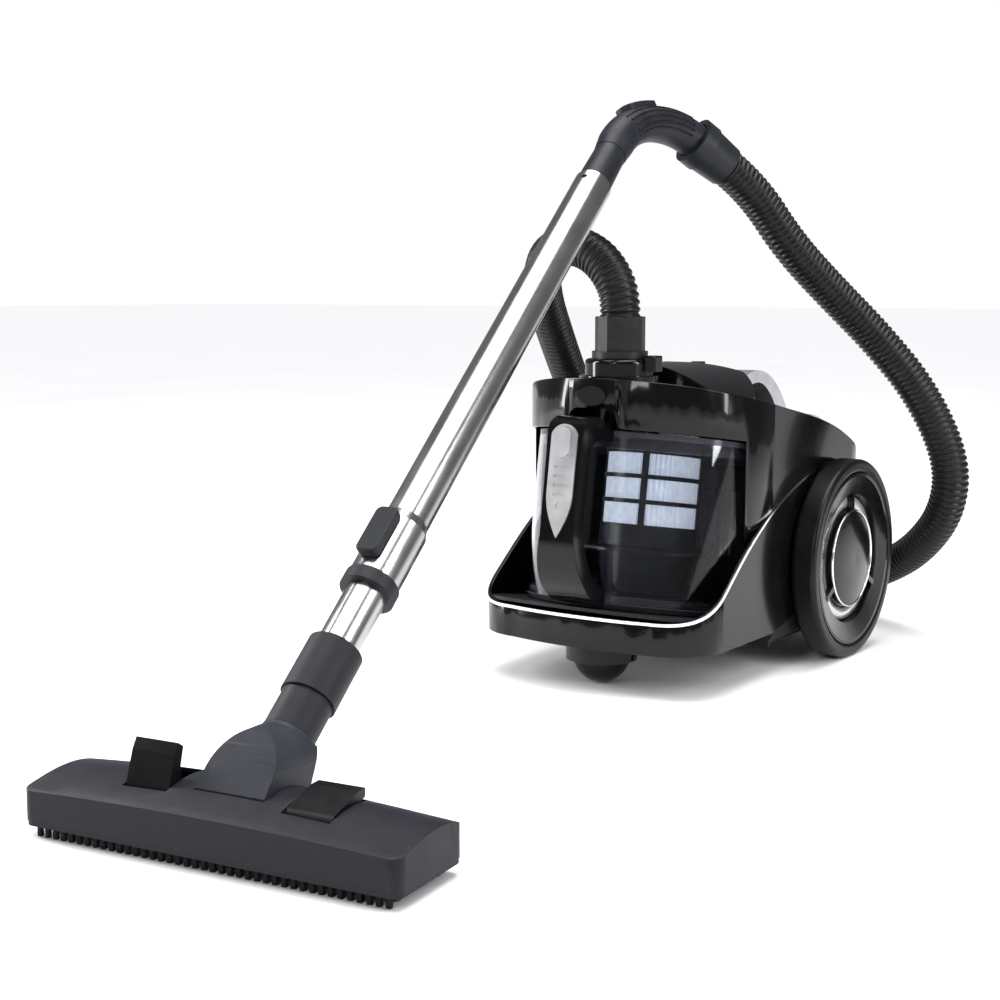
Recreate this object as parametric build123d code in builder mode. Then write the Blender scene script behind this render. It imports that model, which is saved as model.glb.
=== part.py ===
"""Bagless canister vacuum cleaner: canister with dust cup, hose, handle, telescopic wand and floor head.

Millimetres, +Z up. The canister faces -Y and its left side is +X. The floor is Z = 0, and the origin is
below the middle of the whole cleaner, hose left out.
"""

from build123d import *
from math import cos, pi, radians, sin, tan
import os

os.makedirs("parts", exist_ok=True)

# ---------------------------------------------------------------- driving dimensions
# canister
axle_x, axle_y = -24.9, 347.3
wheel_radius = 95.0
wheel_inner_face, wheel_outer_face = 121.0, 145.0
body_half = 118.0
body_rear = 100.0
rear_corner = 52.0
base_front = -275.0
front_corner = 48.0
base_bottom = 40.0
wall = 3.0
rim_centre_y = -127.0
fender_line = [(-290, 71.5), (-245, 74.6), (-205, 102), (-153, 139), (-71, 175), (20, 186), (75, 172), (110, 150)]
top_line = [(-262, 277), (-200, 264), (-130, 249), (-60, 236), (10, 219), (60, 198), (86, 182), (101, 168)]
belly_bottom = 26.0
belly_front = -119.5

# dust cup: its axis leans back, and it slides out along its own floor
cup_lean = 9.0
cup_foot_y, cup_foot_z = -156.0, 58.0
cup_radius = 108.0
cup_height = 155.0
cup_wall_thickness = 2.5
cage_radius = 45.0

# front caster
caster_y = -226.0
caster_radius = 26.0
caster_socket = 32.0

# hose inlet
inlet_y = -199.0
connector_radius = 22.3
connector_top = 326.0
collar_top = 289.0

# details of the canister
axle_radius = 8.0
belly_height, belly_bevel = 46.0, 9.0
belly_screw_places = [(x, y) for x in (-80, 80) for y in (-95, 60)]
screw_head, screw_shank, screw_sink = 4.0, 1.8, 3.0
bulkhead_outer = 114.0
cup_room = 110.5
notch_width, notch_height = 50.0, 17.0
inlet_tube = 25.5
pedal_width, pedal_length, pedal_proud, pedal_travel = 36.0, 54.0, 12.0, 5.0
pedal_places = [(-76, 40), (76, 40)]
button_y, button_radius = -52.0, 7.0
grille_width, grille_height = 104.0, 46.0
gland_radius, gland_bore = 9.0, 4.0
motor_y, motor_z, motor_radius = 34.0, 96.0, 47.0
reel_x, reel_width, reel_radius = 80.0, 40.0, 45.0
clearance = 0.05
board_z = 160.0
collar_radius, collar_ring, connector_bore = 36.0, 31.0, 23.0
latch_z, latch_width = 278.0, 16.0
button_top = 281.0
caster_pin = 3.0

# inside the dust cup
lid_outlet, lid_inlet, lid_inlet_y = 24.0, 19.0, -67.6
cage_bottom = 55.0
window_rows, window_height, window_width, window_turn = (75, 98, 121), 19.0, 59.0, 65.0
pleat_count, pleat_tip, pleat_depth, pleat_bore = 56, 42.5, 5.0, 30.0
cup_button_level, cup_button_length, cup_button_width, cup_button_proud = 140.0, 26.0, 15.0, 4.5

# wand and handle
wand_foot = Vector(axle_x + 53.5, axle_y - 728.5, 35.0)
wand_turn = 7.0
wand_rise = 39.1
lower_radius, upper_radius = 15.0, 16.5
tube_gauge = 1.2
neck_start, neck_ring, neck_end = 46.0, 75.0, 118.0
swivel_radius = 13.9
sleeve_start, sleeve_end, sleeve_radius = 168.0, 236.0, 19.0
lower_length = 445.0
upper_end = 640.0
lock_place = 207.0
handle_roll = 148.6
handle_straight, handle_bend, handle_arc = 62.0, 86.0, 80.0
handle_cones = [(0, 45, 15.1, 14.1), (45, 62, 14.6, 16.5)]
grip_radius, spigot_radius = 16.5, 14.9
slider_angle, slider_length, slider_width = 33.0, 46.0, 21.0
cuff_length, cuff_radius = 36.0, 22.8

# hose: the middle line's corners, from the inlet round behind the canister and up to the handle
hose_radius, hose_gauge = 18.0, 2.0
hose_points = [
    (0, -199, 326), (0, -199, 342), (-8, -199, 362), (-27, -197, 381), (-57, -191, 391), (-93, -177, 384),
    (-122, -144, 352),
    (-139, -84, 294), (-154, -24, 238), (-176, 34, 176), (-188, 92, 120), (-180, 148, 70), (-144, 192, 34),
    (-88, 218, 20), (-20, 220, 24), (46, 202, 36), (104, 167, 56), (158, 130, 88), (194, 110, 132),
    (199, 104, 184), (168, 96, 250), (128, 74, 304), (94, 42, 348), (66, 4, 392),
]

# floor head
head_length, head_depth, head_skirt = 284.0, 76.0, 11.0
head_edge_middle, head_edge_end = 34.2, 31.0
head_crown_middle, head_crown_end = 45.0, 37.5
head_back_set, neck_side = 14.0, 5.0
elbow_half, barrel_radius, trunnion_radius = 26.0, 20.0, 5.0
head_pedal_width, well_depth, pedal_pin, pedal_lift = 34.0, 43.0, 2.5, 55.0
pedal_pin_y, pedal_pin_z = -10.0, 34.0
pedal_wells = [(-56, 1.5), (66, 1.5)]
brush_y, brush_length, brush_width = -32.0, 268.0, 4.6
tuft_pitch, tuft_count = 6.6, 41
roller_radius, roller_length, roller_pin = 8.0, 14.0, 1.5
front_rollers = [(-124, -18), (124, -18)]
rear_rollers = [(-124, 26.5), (124, 26.5)]

# ---------------------------------------------------------------- frames
canister = Plane(origin=(axle_x, axle_y, 0), x_dir=(1, 0, 0), z_dir=(0, 0, 1))
side = Plane(origin=(axle_x, axle_y, 0), x_dir=(0, 1, 0), z_dir=(1, 0, 0))
lean = radians(cup_lean)
cup = Plane(
    origin=(axle_x, axle_y + cup_foot_y, cup_foot_z),
    x_dir=(1, 0, 0),
    z_dir=(0, sin(lean), cos(lean)),
)
turn, rise, roll = radians(wand_turn), radians(wand_rise), radians(handle_roll)
forward = Vector(-sin(turn), cos(turn), 0)
across = Vector(cos(turn), sin(turn), 0)
wand_axis = forward * cos(rise) + Vector(0, 0, sin(rise))
wand_top = Vector(0, 0, cos(rise)) - forward * sin(rise)
wand = Plane(origin=wand_foot, x_dir=across, z_dir=wand_axis)
lock_plane = Plane(origin=wand_foot + wand_axis * lock_place, x_dir=across, z_dir=wand_top)
elbow_side = Plane(origin=wand_foot, x_dir=forward, z_dir=across)
elbow_front = Plane(origin=wand_foot, x_dir=across, z_dir=-forward)
head_centre = wand_foot - forward * head_back_set - across * neck_side
head = Plane(origin=(head_centre.X, head_centre.Y, 0), x_dir=across, z_dir=(0, 0, 1))
head_side = Plane(origin=head.origin, x_dir=forward, z_dir=across)
inlet = Plane(origin=(axle_x, axle_y + inlet_y, 0), x_dir=(1, 0, 0), z_dir=(0, 0, 1))
caster_plane = Plane(origin=(axle_x, axle_y + caster_y, 0), x_dir=(1, 0, 0), z_dir=(0, 0, 1))
caster_ball_centre = caster_plane.from_local_coords((0, 0, caster_radius))
grille_plane = Plane(origin=(axle_x, axle_y + body_rear, 118), x_dir=(-1, 0, 0), z_dir=(0, 1, 0))
gland_plane = Plane(origin=(axle_x, axle_y + body_rear, 83), x_dir=(-1, 0, 0), z_dir=(0, 1, 0))
cup_front = Plane(origin=cup.from_local_coords((0, -90, 0)), x_dir=(1, 0, 0), z_dir=-cup.y_dir)
cup_side = Plane(origin=cup.origin, x_dir=cup.y_dir, z_dir=(1, 0, 0))
grip_face = Plane(origin=cup.from_local_coords((0, -157, 0)), x_dir=(1, 0, 0), z_dir=-cup.y_dir)
motor = Plane(origin=(axle_x, axle_y + motor_y, motor_z), x_dir=(0, 1, 0), z_dir=(1, 0, 0))
upper_end_point = wand_foot + wand_axis * upper_end
handle_down = wand_top * cos(roll) + across * sin(roll)
handle_frame = Plane(origin=upper_end_point, x_dir=wand_axis, z_dir=wand_axis.cross(handle_down))
bend_centre = handle_frame.from_local_coords((handle_straight, handle_bend, 0))
sweep_angle, slide_angle = radians(handle_arc), radians(slider_angle)
grip_end = bend_centre + (wand_axis * sin(sweep_angle) - handle_down * cos(sweep_angle)) * handle_bend
cuff_axis = wand_axis * cos(sweep_angle) + handle_down * sin(sweep_angle)
cuff_plane = Plane(origin=grip_end, z_dir=cuff_axis)
cuff_end = grip_end + cuff_axis * cuff_length
slider_out = wand_axis * sin(slide_angle) - handle_down * cos(slide_angle)
slider_plane = Plane(
    origin=bend_centre + slider_out * (handle_bend + grip_radius),
    x_dir=wand_axis * cos(slide_angle) + handle_down * sin(slide_angle),
    z_dir=slider_out,
)


def save(piece, label):
    """Label a finished piece and write its file."""
    piece.part.label = label
    export_step(piece.part, f"parts/{label}.step")


# ---------------------------------------------------------------- shared outlines
def cover_outline(grow=0.0):
    """Plan of the upper body: a half circle in front, straight sides and rounded rear corners."""
    half, rear = body_half + grow, body_rear + grow
    corner = rear_corner + grow
    with BuildSketch() as plan:
        with BuildLine():
            ThreePointArc((half, rim_centre_y), (0, rim_centre_y - half), (-half, rim_centre_y))
            Line((-half, rim_centre_y), (-half, rear - corner))
            RadiusArc((-half, rear - corner), (-half + corner, rear), corner)
            Line((-half + corner, rear), (half - corner, rear))
            RadiusArc((half - corner, rear), (half, rear - corner), corner)
            Line((half, rear - corner), (half, rim_centre_y))
        make_face()
    return plan.sketch


def base_outline(grow=0.0):
    """Plan of the lower body: a bowed bumper in front, straight sides and rounded rear corners."""
    half, rear, front = body_half + grow, body_rear + grow, base_front - grow
    corner, nose = rear_corner + grow, front_corner + grow
    bow = 7.0
    with BuildSketch() as plan:
        with BuildLine():
            ThreePointArc((-half + nose, front + bow), (0, front), (half - nose, front + bow))
            RadiusArc((half - nose, front + bow), (half, front + bow + nose), -nose)
            Line((half, front + bow + nose), (half, rear - corner))
            RadiusArc((half, rear - corner), (half - corner, rear), -corner)
            Line((half - corner, rear), (-half + corner, rear))
            RadiusArc((-half + corner, rear), (-half, rear - corner), -corner)
            Line((-half, rear - corner), (-half, front + bow + nose))
            RadiusArc((-half, front + bow + nose), (-half + nose, front + bow), -nose)
        make_face()
    return plan.sketch


def region(points, drop, closing):
    """Side view of everything on one side of a spline: closing is the level of its far edge."""
    moved = [(y, z - drop) for y, z in points]
    first, last = moved[0], moved[-1]
    with BuildSketch() as area:
        with BuildLine():
            Spline(*moved)
            Polyline(last, (160, last[1]), (160, closing), (-330, closing), (-330, first[1]), first)
        make_face()
    return area.sketch


# ---------------------------------------------------------------- canister housing
def make_base_shell():
    with BuildPart() as base_shell:
        with BuildSketch(canister.offset(base_bottom)):
            add(base_outline())
        extrude(amount=170)
        with BuildSketch(side):
            add(region(fender_line, 0, 320))
        extrude(amount=160, both=True, mode=Mode.SUBTRACT)
        with BuildSketch(canister.offset(base_bottom + wall)):
            add(base_outline(-wall))
        extrude(amount=200, mode=Mode.SUBTRACT)
        with BuildSketch(side):
            Polygon((belly_front, 0), (belly_front, 41), (-65, 52), (160, 78), (160, 0), align=None)
        extrude(amount=160, both=True, mode=Mode.SUBTRACT)
        with BuildSketch(canister.offset(base_bottom)):
            with Locations((0, belly_front + 200)):
                Rectangle(2 * (body_half - wall), 400)
        extrude(amount=wall, mode=Mode.SUBTRACT)
        with BuildSketch(canister):
            with Locations((0, caster_y)):
                Circle(caster_socket + clearance)
        extrude(amount=60, mode=Mode.SUBTRACT)
        with BuildSketch(side):
            with Locations((0, wheel_radius)):
                Circle(axle_radius)
        extrude(amount=160, both=True, mode=Mode.SUBTRACT)
        with BuildSketch(grille_plane):
            Rectangle(grille_width, grille_height)
        extrude(amount=30, both=True, mode=Mode.SUBTRACT)
        with BuildSketch(gland_plane):
            Circle(gland_radius)
        extrude(amount=20, both=True, mode=Mode.SUBTRACT)
    save(base_shell, "base_shell")


def make_silver_trim():
    """Bright line along the top edge of the bumper and fenders."""
    with BuildPart() as silver_trim:
        with BuildSketch(canister.offset(50)):
            add(base_outline(0.9))
            add(base_outline(), mode=Mode.SUBTRACT)
        extrude(amount=150)
        with BuildSketch(side):
            add(region(fender_line, 0, 320))
        extrude(amount=160, both=True, mode=Mode.SUBTRACT)
        with BuildSketch(side):
            add(region(fender_line, 2.6, 0))
        extrude(amount=160, both=True, mode=Mode.SUBTRACT)
        with BuildSketch(canister.offset(40)):
            with Locations((0, body_rear)):
                Rectangle(400, 140)
        extrude(amount=200, mode=Mode.SUBTRACT)
    save(silver_trim, "silver_trim")


def make_belly_pan():
    with BuildPart() as belly_pan:
        with BuildSketch(canister.offset(belly_bottom)):
            add(base_outline(-wall - belly_bevel))
        with BuildSketch(canister.offset(belly_bottom + belly_bevel)):
            add(base_outline(-wall))
        loft()
        with BuildSketch(canister.offset(belly_bottom + belly_bevel)):
            add(base_outline(-wall))
        extrude(amount=belly_height - belly_bevel)
        with BuildSketch(canister.offset(belly_bottom + wall)):
            add(base_outline(-2 * wall - belly_bevel))
        extrude(amount=belly_height, mode=Mode.SUBTRACT)
        with BuildSketch(canister.offset(belly_bottom + belly_bevel)):
            add(base_outline(-2 * wall))
        extrude(amount=belly_height, mode=Mode.SUBTRACT)
        with BuildSketch(canister):
            with Locations((0, belly_front - 200)):
                Rectangle(400, 400)
        extrude(amount=200, mode=Mode.SUBTRACT)
        with BuildSketch(canister.offset(belly_bottom)):
            with Locations((0, belly_front + wall / 2)):
                Rectangle(2 * (body_half - 2 * wall) + 1, wall)
        extrude(amount=18)
        with BuildSketch(canister.offset(belly_bottom)):
            with Locations(*belly_screw_places):
                Circle(screw_shank)
        extrude(amount=20, mode=Mode.SUBTRACT)
        with BuildSketch(canister.offset(belly_bottom)):
            with Locations(*belly_screw_places):
                Circle(screw_head)
        extrude(amount=screw_sink, mode=Mode.SUBTRACT)
        with BuildSketch(gland_plane):
            Circle(gland_radius)
        extrude(amount=20, both=True, mode=Mode.SUBTRACT)
    save(belly_pan, "belly_pan")


def make_belly_screws():
    with BuildPart() as belly_screws:
        with BuildSketch(canister.offset(belly_bottom)):
            with Locations(*belly_screw_places):
                Circle(screw_head)
                RectangleRounded(screw_head * 1.2, 0.9, 0.3, mode=Mode.SUBTRACT)
        extrude(amount=screw_sink)
        with BuildSketch(canister.offset(belly_bottom + screw_sink)):
            with Locations(*belly_screw_places):
                Circle(screw_shank)
        extrude(amount=12)
    save(belly_screws, "belly_screws")


def make_cup_tray():
    """Sloping shelf that the dust cup stands and slides on."""
    with BuildPart() as cup_tray:
        with BuildSketch(cup.offset(-4)):
            with Locations((0, -78)):
                Rectangle(2 * (body_half - wall), 230)
            with Locations((0, 55)):
                Rectangle(2 * (body_half - 3 * wall), 121)
        extrude(amount=3)
        with BuildSketch(canister):
            add(base_outline(-wall - 0.2))
        extrude(amount=200, mode=Mode.INTERSECT)
    save(cup_tray, "cup_tray")


def make_bulkhead():
    """Curved wall behind the dust cup, with the grille that air leaves the cup through."""
    with BuildPart() as bulkhead:
        with BuildSketch(cup.offset(-1)):
            Circle(bulkhead_outer)
            Circle(bulkhead_outer - wall, mode=Mode.SUBTRACT)
            with Locations((0, -150)):
                Rectangle(400, 310, mode=Mode.SUBTRACT)
        extrude(amount=cup_height + 1)
        back = Plane(origin=cup.from_local_coords((0, 60, 85)), x_dir=(1, 0, 0), z_dir=cup.y_dir)
        with BuildSketch(back):
            with GridLocations(11, 1, 7, 1):
                RectangleRounded(6, 66, 2.5)
        extrude(amount=90, mode=Mode.SUBTRACT)
    save(bulkhead, "bulkhead")


def cover_cavity():
    """The hollow inside the upper body, open downwards."""
    with BuildPart() as cavity:
        with BuildSketch(canister.offset(50)):
            add(cover_outline(-wall))
        extrude(amount=240)
        with BuildSketch(side):
            add(region(top_line, wall, 330))
        extrude(amount=160, both=True, mode=Mode.SUBTRACT)
    return cavity.part


def make_top_cover():
    with BuildPart() as top_cover:
        with BuildSketch(canister.offset(60)):
            add(cover_outline())
        extrude(amount=240)
        with BuildSketch(side):
            add(region(top_line, 0, 330))
        extrude(amount=160, both=True, mode=Mode.SUBTRACT)
        with BuildSketch(side):
            add(region(fender_line, 0, 0))
        extrude(amount=160, both=True, mode=Mode.SUBTRACT)
        add(cover_cavity(), mode=Mode.SUBTRACT)
        with BuildSketch(cup.offset(-20)):
            Circle(cup_room)
            with Locations((0, -100)):
                Rectangle(2 * cup_room, 200)
        extrude(amount=cup_height + 21, mode=Mode.SUBTRACT)
        with BuildSketch(cup_front):
            with Locations((0, cup_height + 1)):
                RectangleRounded(notch_width, 2 * notch_height, 9)
        extrude(amount=60, mode=Mode.SUBTRACT)
        with BuildSketch(inlet.offset(230)):
            Circle(inlet_tube + 0.3)
        extrude(amount=60, mode=Mode.SUBTRACT)
        with BuildSketch(canister.offset(150)):
            with Locations(*pedal_places):
                RectangleRounded(pedal_width + 0.8, pedal_length + 0.8, 8.4)
        extrude(amount=120, mode=Mode.SUBTRACT)
        with BuildSketch(canister.offset(200)):
            with Locations((0, button_y)):
                Circle(button_radius + 0.3)
        extrude(amount=80, mode=Mode.SUBTRACT)
    save(top_cover, "top_cover")


def make_deck_panel():
    """Black hump on the upper body, between the hose inlet and the carry handle."""
    with BuildPart() as deck_panel:
        with BuildSketch(canister.offset(200)):
            with Locations((0, -98)):
                RectangleRounded(146, 122, 52)
        extrude(amount=110)
        with BuildSketch(side):
            with BuildLine():
                Spline((-175, 279), (-110, 283), (-60, 277), (-20, 262))
                Polyline((-20, 262), (-20, 150), (-175, 150), (-175, 279))
            make_face()
        extrude(amount=160, both=True, mode=Mode.INTERSECT)
        crown = Plane(origin=(axle_x, axle_y, 0), x_dir=(1, 0, 0), z_dir=(0, -1, 0))
        with BuildSketch(crown):
            with BuildLine():
                ThreePointArc((-78, 238), (0, 283), (78, 238))
                Polyline((78, 238), (78, 100), (-78, 100), (-78, 238))
            make_face()
        extrude(amount=300, both=True, mode=Mode.INTERSECT)
        with BuildSketch(side):
            add(region(top_line, 0, 0))
        extrude(amount=160, both=True, mode=Mode.SUBTRACT)
        with BuildSketch(canister.offset(200)):
            with Locations((0, button_y)):
                Circle(button_radius + 0.3)
        extrude(amount=100, mode=Mode.SUBTRACT)
        with BuildSketch(inlet.offset(200)):
            Circle(collar_radius + 0.2)
        extrude(amount=100, mode=Mode.SUBTRACT)
        with BuildSketch(canister.offset(200)):
            with Locations((0, -20)):
                Rectangle(69, 50)
        extrude(amount=100, mode=Mode.SUBTRACT)
    save(deck_panel, "deck_panel")


def make_deck_button():
    with BuildPart() as deck_button:
        with BuildSketch(canister.offset(246)):
            with Locations((0, button_y)):
                Circle(button_radius)
        extrude(amount=button_top - 246)
        fillet(deck_button.faces().sort_by(Axis.Z)[-1].edges(), 1.2)
    save(deck_button, "deck_button")


def make_badge_lens():
    """Plain oval window on the front of the rim."""
    front = Plane(origin=(axle_x, axle_y + rim_centre_y - body_half + 8, 258), x_dir=(1, 0, 0), z_dir=(0, -1, 0))
    with BuildPart() as badge_lens:
        with BuildSketch(front):
            Ellipse(14, 8.5)
        extrude(amount=9.6)
        with BuildSketch(canister.offset(200)):
            add(cover_outline())
        extrude(amount=100, mode=Mode.SUBTRACT)
    save(badge_lens, "badge_lens")


def make_carry_handle():
    with BuildPart() as carry_handle:
        with BuildSketch(side):
            with BuildLine():
                Spline((-44, 225), (-30, 258), (6, 271), (52, 255), (84, 160))
                Polyline((84, 160), (70, 160))
                Spline((70, 160), (46, 238), (8, 259), (-20, 248), (-28, 225))
                Polyline((-28, 225), (-44, 225))
            make_face()
        extrude(amount=34, both=True)
        with BuildSketch(side):
            add(region(top_line, 0, 0))
        extrude(amount=160, both=True, mode=Mode.SUBTRACT)
    save(carry_handle, "carry_handle")


def make_pedals():
    for (x, y), name in zip(pedal_places, ("rewind_pedal", "power_pedal")):
        with BuildPart() as pedal:
            with BuildSketch(canister.offset(160)):
                with Locations((x, y)):
                    RectangleRounded(pedal_width, pedal_length, 8)
            extrude(amount=120)
            with BuildSketch(side):
                add(region(top_line, -pedal_proud, 330))
            extrude(amount=160, both=True, mode=Mode.SUBTRACT)
            with BuildSketch(side):
                add(region(top_line, 7, 0))
            extrude(amount=160, both=True, mode=Mode.SUBTRACT)
        save(pedal, name)


def make_inlet_collar():
    with BuildPart() as inlet_collar:
        with BuildSketch(inlet.offset(240)):
            Circle(collar_radius)
        extrude(amount=collar_top - 15 - 240)
        with BuildSketch(inlet.offset(collar_top - 15)):
            Circle(collar_ring)
        extrude(amount=15)
        fillet(inlet_collar.faces().sort_by(Axis.Z)[-1].edges(), 4)
        with BuildSketch(side):
            add(region(top_line, 0, 0))
        extrude(amount=160, both=True, mode=Mode.SUBTRACT)
        with BuildSketch(inlet.offset(215)):
            Circle(inlet_tube)
        extrude(amount=60)
        with BuildSketch(cup.offset(cup_height + 1.5)):
            Rectangle(400, 400)
        extrude(amount=-80, mode=Mode.SUBTRACT)
        with BuildSketch(inlet.offset(200)):
            Circle(connector_bore)
        extrude(amount=100, mode=Mode.SUBTRACT)
        with BuildSketch(inlet.offset(latch_z)):
            with Locations((collar_ring - 4, 0)):
                Rectangle(20, latch_width + 0.6)
        extrude(amount=20, mode=Mode.SUBTRACT)
    save(inlet_collar, "inlet_collar")


def make_collar_latch():
    """Release latch on the left of the inlet collar; pressed in towards the hose."""
    with BuildPart() as collar_latch:
        with BuildSketch(inlet.offset(latch_z)):
            with Locations(((connector_radius + 5.0 + collar_ring + 9) / 2, 0)):
                RectangleRounded(collar_ring + 9 - connector_radius - 5.0, latch_width, 3)
        extrude(amount=collar_top + 3 - latch_z)
        fillet(collar_latch.faces().sort_by(Axis.Z)[-1].edges(), 1.5)
    save(collar_latch, "collar_latch")


def make_rear_group():
    with BuildPart() as exhaust_grille:
        with BuildSketch(grille_plane.offset(-wall)):
            Rectangle(grille_width - 0.4, grille_height - 0.4)
        extrude(amount=wall + 1)
        with BuildSketch(grille_plane.offset(-wall)):
            with GridLocations(0, 6, 1, 6):
                RectangleRounded(90, 2.8, 1.3)
        extrude(amount=wall + 1, mode=Mode.SUBTRACT)
    save(exhaust_grille, "exhaust_grille")
    with BuildPart() as exhaust_filter:
        with BuildSketch(grille_plane.offset(-wall - 12)):
            Rectangle(96, 38)
        extrude(amount=11)
    save(exhaust_filter, "exhaust_filter")
    with BuildPart() as cord_gland:
        with BuildSketch(gland_plane.offset(-8)):
            Circle(gland_radius)
        extrude(amount=8)
        with BuildSketch(gland_plane):
            Circle(gland_radius + 3)
        extrude(amount=2.5)
        fillet(cord_gland.faces().sort_by(Axis.Y)[-1].edges(), 1)
        with BuildSketch(gland_plane.offset(-8)):
            Circle(gland_bore)
        extrude(amount=12, mode=Mode.SUBTRACT)
    save(cord_gland, "cord_gland")


def make_motor():
    with BuildPart() as motor_can:
        with BuildSketch(motor.offset(-66)):
            Circle(motor_radius)
        extrude(amount=96)
        with BuildSketch(motor.offset(-64)):
            Circle(motor_radius - 2)
        extrude(amount=92, mode=Mode.SUBTRACT)
        with BuildSketch(motor.offset(-70)):
            Circle(9)
        extrude(amount=4)
        with BuildSketch(motor.offset(30)):
            Circle(9)
        extrude(amount=4)
        with BuildSketch(motor.offset(-71)):
            Circle(4 + clearance)
        extrude(amount=110, mode=Mode.SUBTRACT)
        with BuildSketch(motor.offset(25)):
            with PolarLocations(30, 6):
                Circle(8)
        extrude(amount=8, mode=Mode.SUBTRACT)
        with BuildSketch(motor.offset(-67)):
            with PolarLocations(30, 6):
                Circle(8)
        extrude(amount=5, mode=Mode.SUBTRACT)
        with BuildSketch(canister.offset(belly_bottom + wall)):
            with Locations((-50, motor_y), (14, motor_y)):
                Rectangle(10, 50)
        extrude(until=Until.NEXT)
    save(motor_can, "motor_can")
    with BuildPart() as motor_rotor:
        with BuildSketch(motor.offset(-69)):
            Circle(4)
        extrude(amount=102)
        with BuildSketch(motor.offset(-50)):
            Circle(26)
            with PolarLocations(24.5, 12):
                Rectangle(5, 3, mode=Mode.SUBTRACT)
        extrude(amount=46)
    save(motor_rotor, "motor_rotor")
    with BuildPart() as impeller:
        with BuildSketch(motor.offset(6)):
            Circle(42)
        extrude(amount=2)
        with BuildSketch(motor.offset(8)):
            Circle(8)
            with PolarLocations(25, 9):
                Rectangle(32, 2, rotation=35)
        extrude(amount=12)
        with BuildSketch(motor.offset(5)):
            Circle(4)
        extrude(amount=20, mode=Mode.SUBTRACT)
    save(impeller, "impeller")


def make_cord_reel():
    reel = motor.offset(reel_x - reel_width / 2)
    with BuildPart() as cord_reel:
        with BuildSketch(reel):
            Circle(reel_radius)
        extrude(amount=2.5)
        with BuildSketch(reel.offset(2.5)):
            Circle(24)
        extrude(amount=reel_width - 5)
        with BuildSketch(reel.offset(reel_width - 2.5)):
            Circle(reel_radius)
        extrude(amount=2.5)
        with BuildSketch(reel):
            Circle(6 + clearance)
        extrude(amount=reel_width, mode=Mode.SUBTRACT)
        with BuildSketch(reel):
            with PolarLocations(36, 5):
                Circle(7)
        extrude(amount=reel_width, mode=Mode.SUBTRACT)
    save(cord_reel, "cord_reel")
    with BuildPart() as reel_axle:
        with BuildSketch(motor.offset(reel_x - reel_width / 2 - 12)):
            Circle(6)
        extrude(amount=reel_width + 12 + 4)
        with BuildSketch(motor.offset(reel_x - reel_width / 2 - 15)):
            Circle(12)
        extrude(amount=3)
        with BuildSketch(canister.offset(belly_bottom + wall)):
            with Locations((reel_x - reel_width / 2 - 13.5, motor_y)):
                Rectangle(3, 20)
        extrude(amount=motor_z - belly_bottom - wall)
    save(reel_axle, "reel_axle")


def make_circuit_board():
    with BuildPart() as circuit_board:
        with BuildSketch(canister.offset(board_z)):
            with Locations((-8, 18)):
                Rectangle(90, 56)
        extrude(amount=1.6)
        with BuildSketch(canister.offset(board_z + 1.6)):
            with Locations((-30, 10)):
                Rectangle(14, 12)
            with Locations((0, 26)):
                Circle(6)
            with Locations((20, 8)):
                Rectangle(10, 18)
        extrude(amount=9)
        with BuildSketch(canister.offset(motor_z + motor_radius - 3)):
            with Locations((-40, motor_y), (15, motor_y)):
                Circle(4)
        extrude(amount=board_z - motor_z - motor_radius + 3)
        with BuildSketch(motor.offset(-80)):
            Circle(motor_radius)
        extrude(amount=140, mode=Mode.SUBTRACT)
    save(circuit_board, "circuit_board")


# ---------------------------------------------------------------- wheels and caster
def make_wheels():
    axle_profile = Plane(origin=(axle_x, axle_y, wheel_radius), x_dir=(1, 0, 0), z_dir=(0, -1, 0))
    axle_line = Axis(origin=(axle_x, axle_y, wheel_radius), direction=(1, 0, 0))
    with BuildPart() as wheel_axles:
        with BuildSketch(side):
            with Locations((0, wheel_radius)):
                Circle(14)
        extrude(amount=body_half - wall, both=True)
        with BuildSketch(side):
            with Locations((0, wheel_radius)):
                Circle(axle_radius)
        extrude(amount=wheel_outer_face - 6, both=True)
        with BuildSketch(side):
            with Locations((0, wheel_radius)):
                Circle(20)
        extrude(amount=body_half - wall - 5, both=True, mode=Mode.SUBTRACT)
    save(wheel_axles, "wheel_axles")
    for sign, hand in ((1, "left"), (-1, "right")):
        inner, outer = sign * wheel_inner_face, sign * wheel_outer_face
        with BuildPart() as tyre:
            with BuildSketch(axle_profile):
                with Locations(((inner + outer) / 2, wheel_radius - 6.5)):
                    RectangleRounded(abs(outer - inner), 13, 4.5)
            revolve(axis=axle_line)
        save(tyre, f"tyre_{hand}")
        with BuildPart() as rim:
            with BuildSketch(axle_profile):
                with BuildLine():
                    Polyline(
                        (inner, axle_radius + clearance),
                        (inner, 16),
                        (inner + sign * 4, 16),
                        (inner + sign * 4, 78),
                        (inner + sign * 1, 78),
                        (inner + sign * 1, 82),
                        (outer - sign * 1, 82),
                        (outer - sign * 1, 79),
                        (outer - sign * 5, 62),
                        (outer - sign * 12, 60),
                        (outer - sign * 12, 48),
                        (outer - sign * 4, 46),
                    )
                    ThreePointArc((outer - sign * 4, 46), (outer - sign * 0.8, 26), (outer, 0))
                    Polyline((outer, 0), (outer - sign * 5, 0), (outer - sign * 5, axle_radius + clearance))
                    Line((outer - sign * 5, axle_radius + clearance), (inner, axle_radius + clearance))
                make_face()
            revolve(axis=axle_line)
            face = Plane(origin=(axle_x + outer - sign * 13, axle_y, wheel_radius), x_dir=(0, 1, 0), z_dir=(sign, 0, 0))
            with BuildSketch(face):
                with PolarLocations(54, 3, start_angle=90):
                    Rectangle(19, 5)
            extrude(amount=9)
        save(rim, f"rim_{hand}")


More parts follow.
